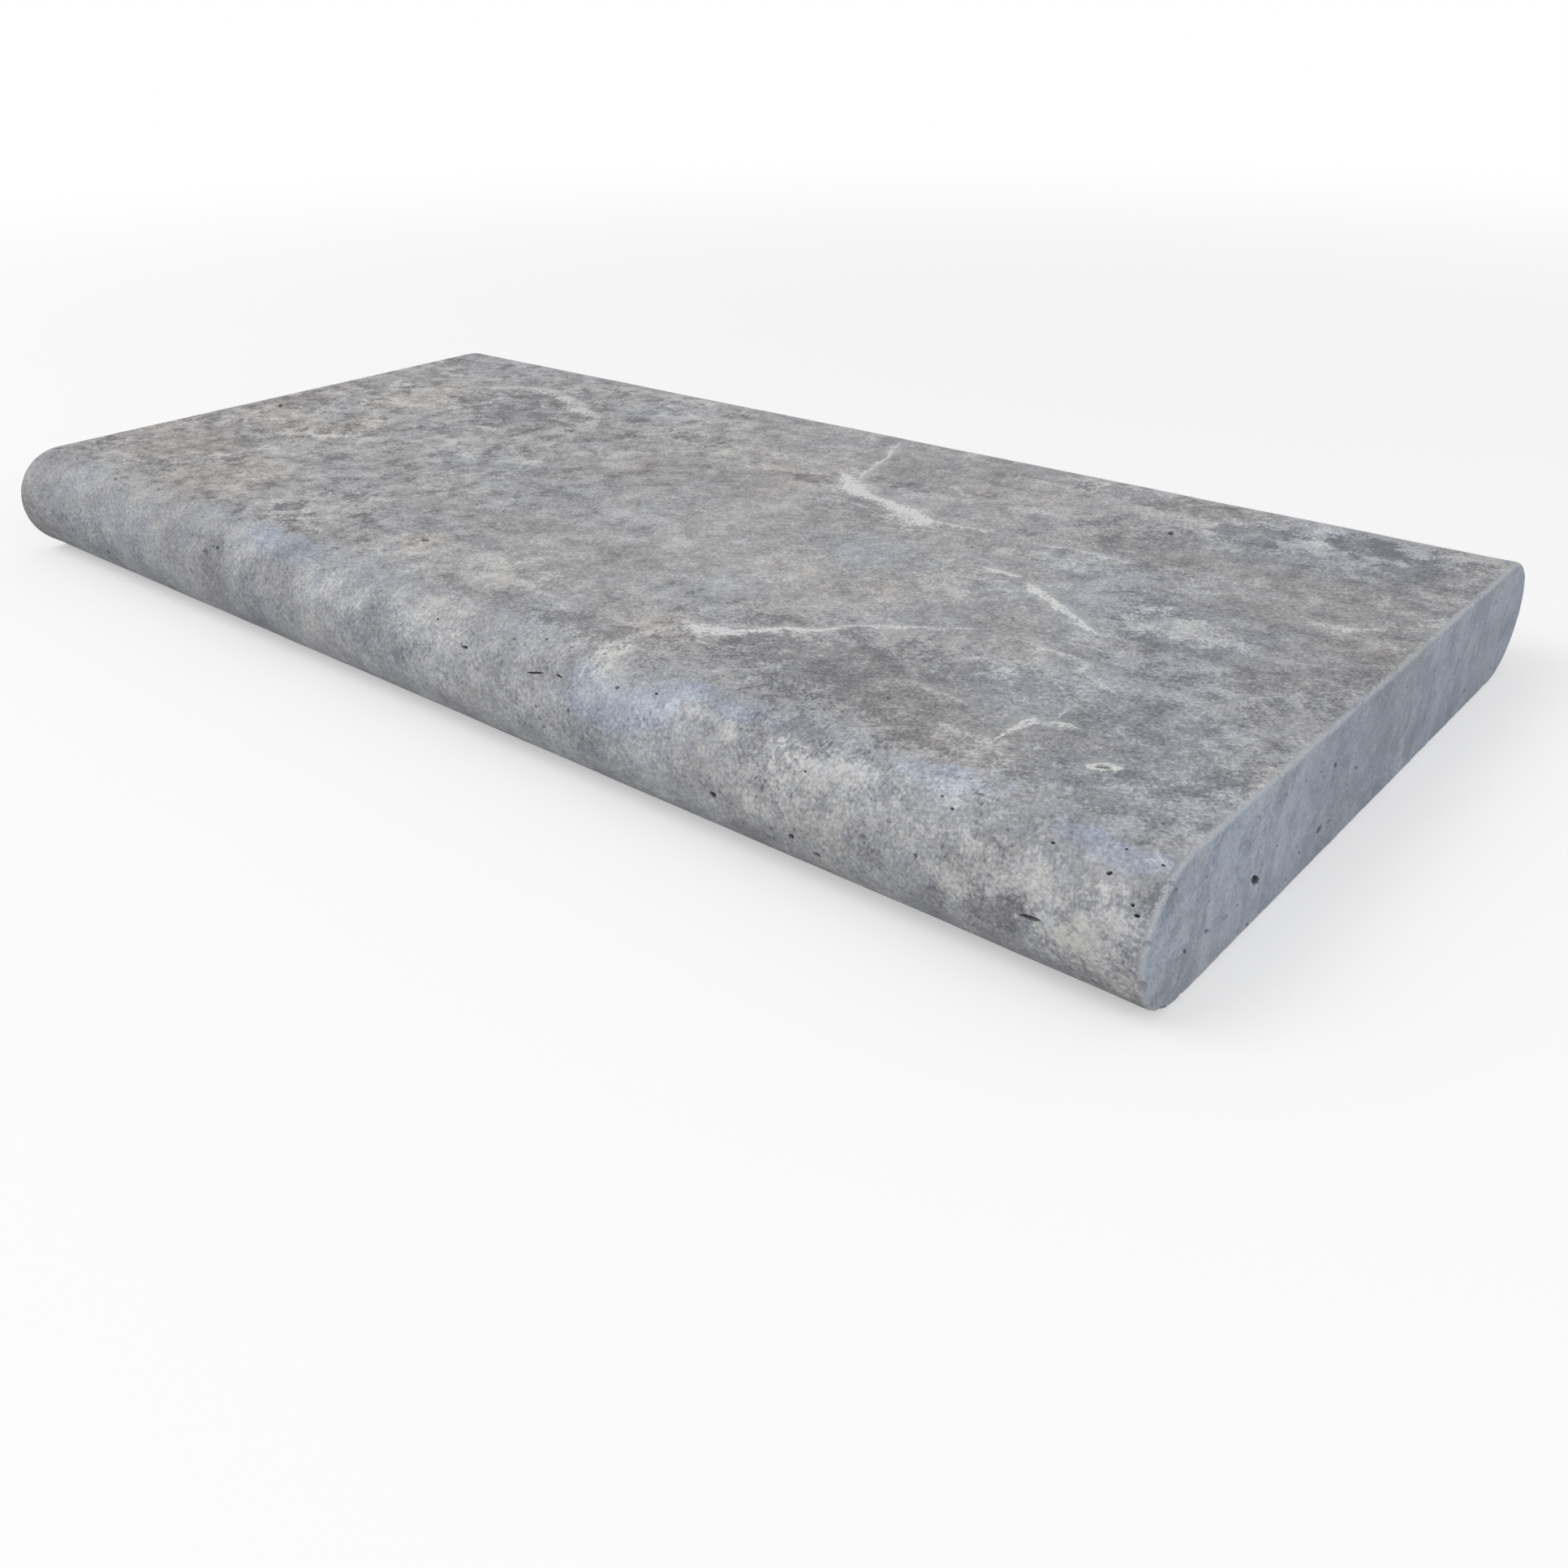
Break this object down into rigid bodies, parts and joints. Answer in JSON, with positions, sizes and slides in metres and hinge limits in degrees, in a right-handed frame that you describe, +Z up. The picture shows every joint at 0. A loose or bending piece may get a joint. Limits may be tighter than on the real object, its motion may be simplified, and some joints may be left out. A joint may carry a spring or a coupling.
{
  "type": "travertine bullnose coping",
  "caption": "Flat rectangular slab of grey travertine with both long edges ground to a full half-round nose and square sawn ends, laid to cap a pool edge, wall or step.",
  "frame": {"origin": "middle of the bedding face, the flat underside", "axes": "+X along the slab from saw cut to saw cut, +Y across it from the front nose to the back nose, +Z up out of the walking face"},
  "size_m": [0.6096, 0.3047, 0.048],
  "materials": {
    "travertine": "brushed unfilled silver-grey travertine, matt, with small open pores"
  },
  "bodies": {
    "root": {"coping_slab": "travertine"}
  },
  "joints": []
}
